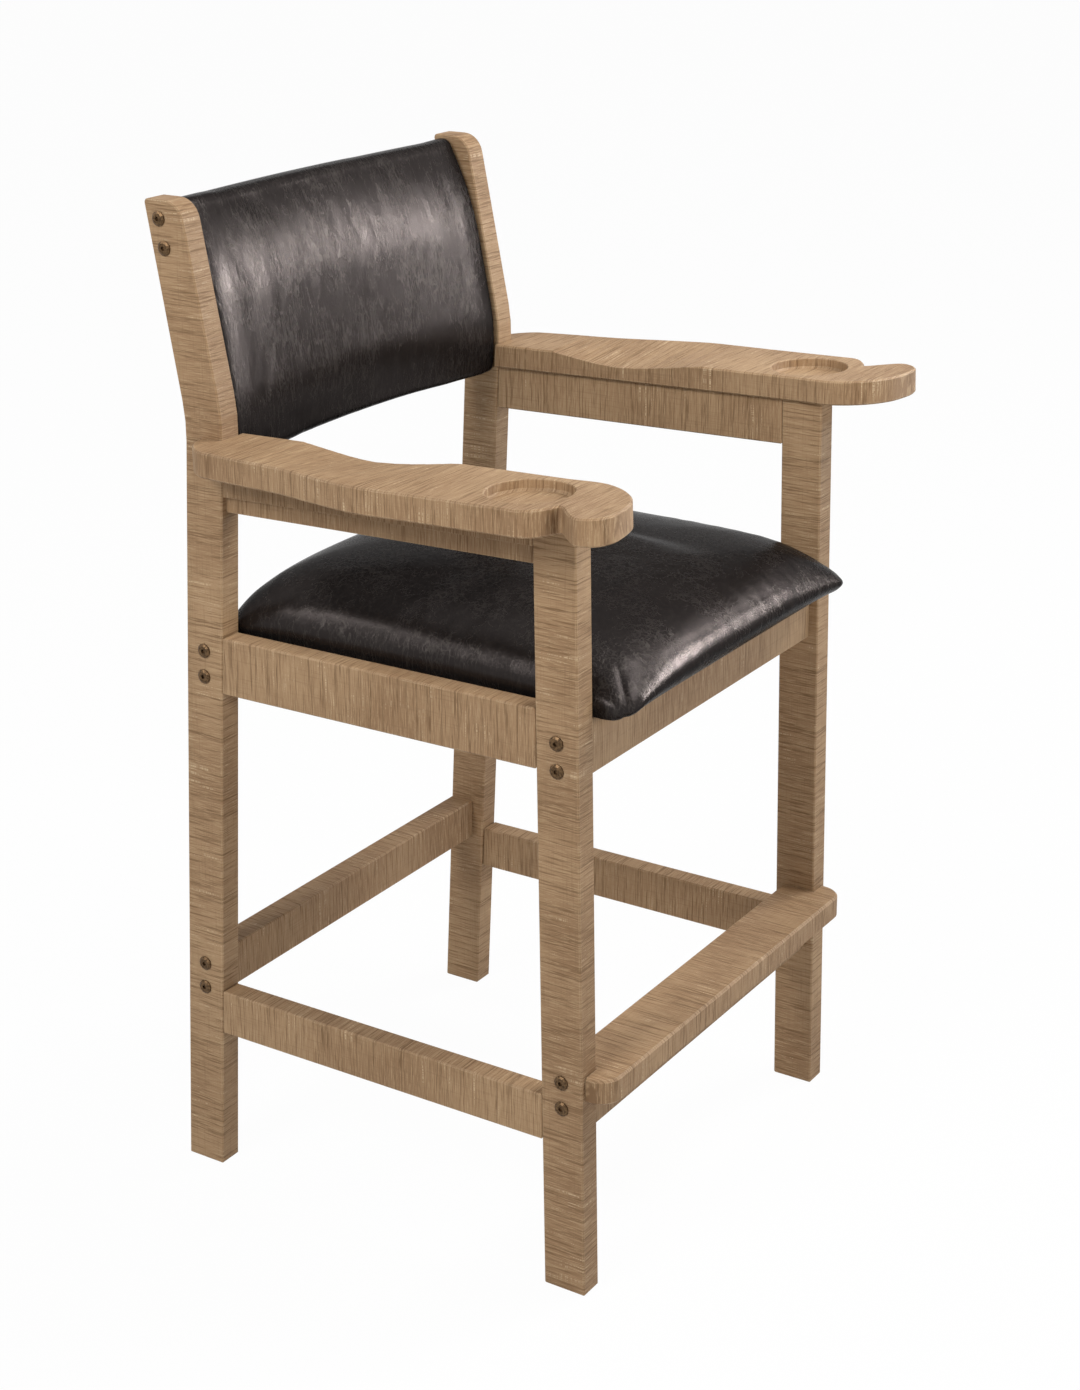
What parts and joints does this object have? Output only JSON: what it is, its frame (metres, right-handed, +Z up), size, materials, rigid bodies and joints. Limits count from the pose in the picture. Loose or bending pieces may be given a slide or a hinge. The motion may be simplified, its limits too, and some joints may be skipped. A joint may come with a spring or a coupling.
{
  "type": "spectator chair",
  "caption": "Tall wooden armchair with padded seat and back, a footrest board, and wide arms with a cup recess, a cue notch and an elbow scoop.",
  "frame": {"origin": "on the floor, under the middle of the chair's outer box", "axes": "+Z up, the chair faces -Y, the sitter's right hand is at -X"},
  "size_m": [0.784, 0.6517, 1.208],
  "materials": {
    "weathered_wood": "matt, cross-sawn, tan brown",
    "plain_wood": "unfinished",
    "upholstery": "semi-gloss, finely creased, near black",
    "bolt_bronze": "antique bronze",
    "screw_steel": "zinc plated"
  },
  "bodies": {
    "root": {"arm_rail_left": "weathered_wood", "arm_rail_right": "weathered_wood", "armrest_left": "weathered_wood", "armrest_right": "weathered_wood", "back_board": "plain_wood", "back_cushion": "upholstery", "back_pin_left": "plain_wood", "back_pin_right": "plain_wood", "back_rear_cover": "upholstery", "bolt_back_lower_left": "bolt_bronze", "bolt_back_lower_right": "bolt_bronze", "bolt_back_upper_left": "bolt_bronze", "bolt_back_upper_right": "bolt_bronze", "bolt_footrest_lower_left": "bolt_bronze", "bolt_footrest_lower_right": "bolt_bronze", "bolt_footrest_upper_left": "bolt_bronze", "bolt_footrest_upper_right": "bolt_bronze", "bolt_front_apron_lower_left": "bolt_bronze", "bolt_front_apron_lower_right": "bolt_bronze", "bolt_front_apron_upper_left": "bolt_bronze", "bolt_front_apron_upper_right": "bolt_bronze", "bolt_rear_rail_lower_left": "bolt_bronze", "bolt_rear_rail_lower_right": "bolt_bronze", "bolt_rear_rail_upper_left": "bolt_bronze", "bolt_rear_rail_upper_right": "bolt_bronze", "bolt_rear_stretcher_lower_left": "bolt_bronze", "bolt_rear_stretcher_lower_right": "bolt_bronze", "bolt_rear_stretcher_upper_left": "bolt_bronze", "bolt_rear_stretcher_upper_right": "bolt_bronze", "corner_block_front_left": "plain_wood", "corner_block_front_right": "plain_wood", "corner_block_rear_left": "plain_wood", "corner_block_rear_right": "plain_wood", "footrest_board": "weathered_wood", "front_apron": "weathered_wood", "front_leg_left": "weathered_wood", "front_leg_right": "weathered_wood", "front_stretcher": "weathered_wood", "rear_leg_left": "weathered_wood", "rear_leg_right": "weathered_wood", "rear_seat_rail": "weathered_wood", "rear_stretcher": "weathered_wood", "seat_board": "plain_wood", "seat_cushion": "upholstery", "seat_rail_left": "weathered_wood", "seat_rail_right": "weathered_wood", "seat_screw_front_left": "screw_steel", "seat_screw_front_right": "screw_steel", "seat_screw_rear_left": "screw_steel", "seat_screw_rear_right": "screw_steel", "side_stretcher_left": "weathered_wood", "side_stretcher_right": "weathered_wood"}
  },
  "joints": []
}
